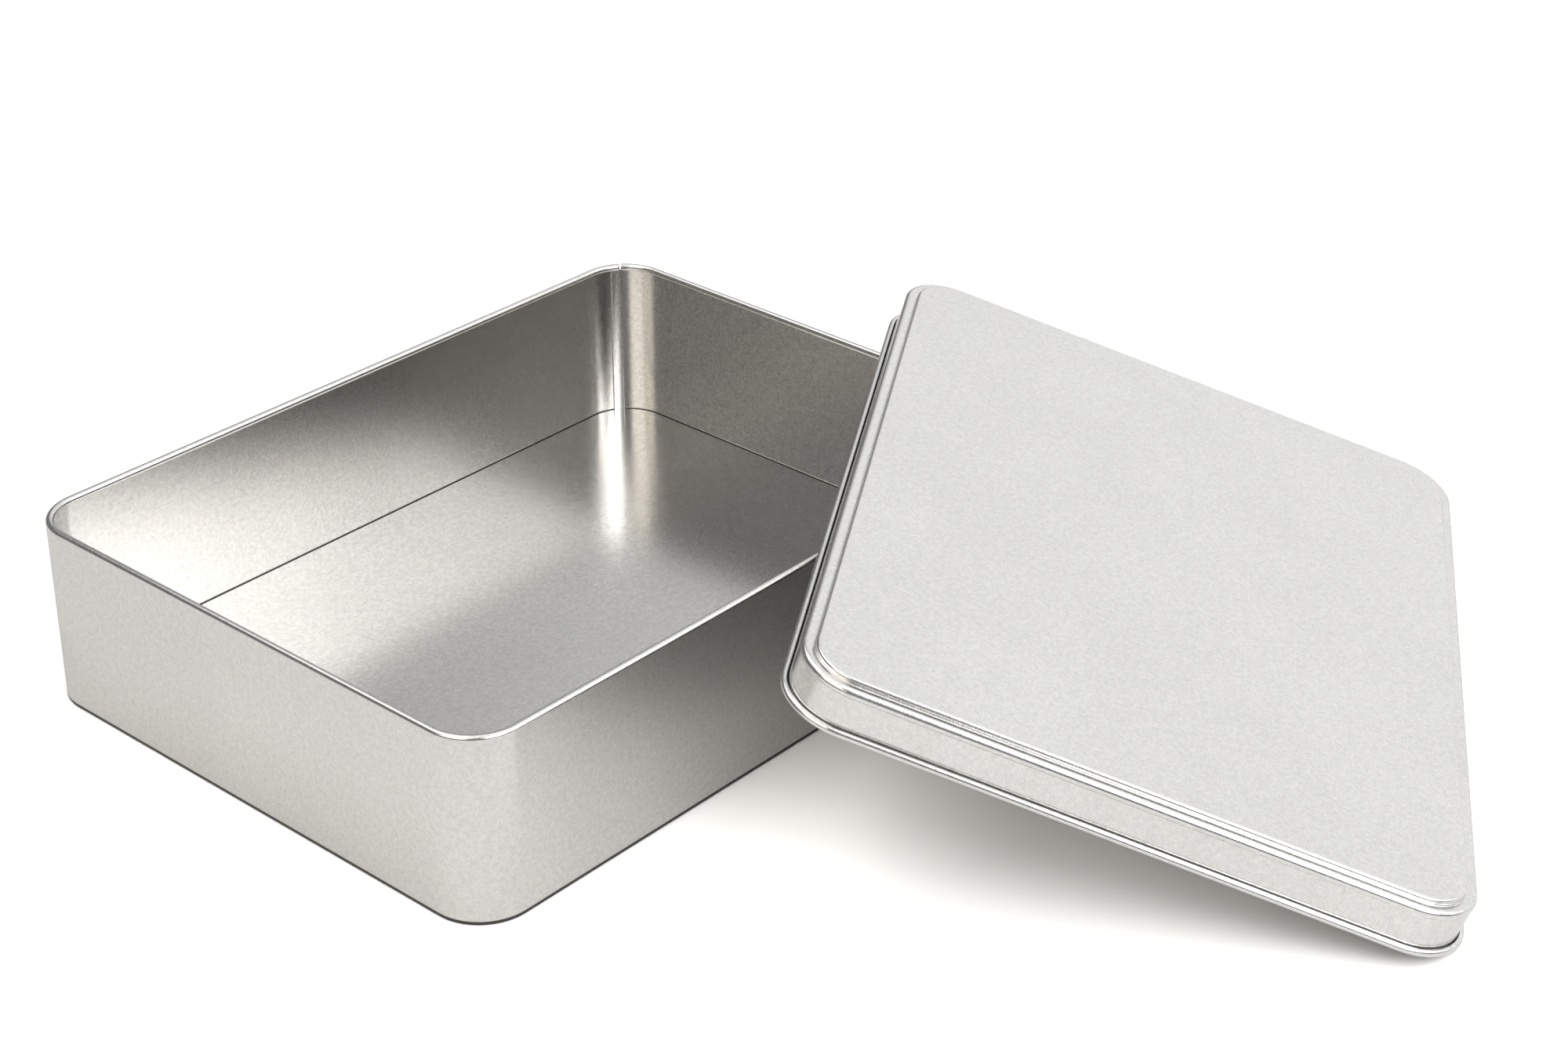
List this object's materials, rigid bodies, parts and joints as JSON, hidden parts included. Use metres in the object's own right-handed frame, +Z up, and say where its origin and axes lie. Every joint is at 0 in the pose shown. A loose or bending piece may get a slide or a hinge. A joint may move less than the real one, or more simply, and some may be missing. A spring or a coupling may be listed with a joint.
{
  "type": "empty metal tin",
  "caption": "Open rectangular tinplate tin with rounded corners and a curled rim; its stepped lid with a curled hem leans on one corner.",
  "frame": {"origin": "on the floor, below the middle of the box that holds the tin and its leaning lid", "axes": "+X along the tin's long side, +Y along its short side, +Z up; the lid leans on the tin's +X -Y corner"},
  "size_m": [0.2944, 0.3068, 0.0592],
  "materials": {
    "tinplate": "satin tinplate, finely grained",
    "tinplate_bottom": "satin tinplate, finely grained",
    "tinplate_lid": "satin tinplate, finely grained"
  },
  "bodies": {
    "root": {"tin_wall": "tinplate", "tin_bottom": "tinplate_bottom", "tin_lid": "tinplate_lid"}
  },
  "joints": []
}
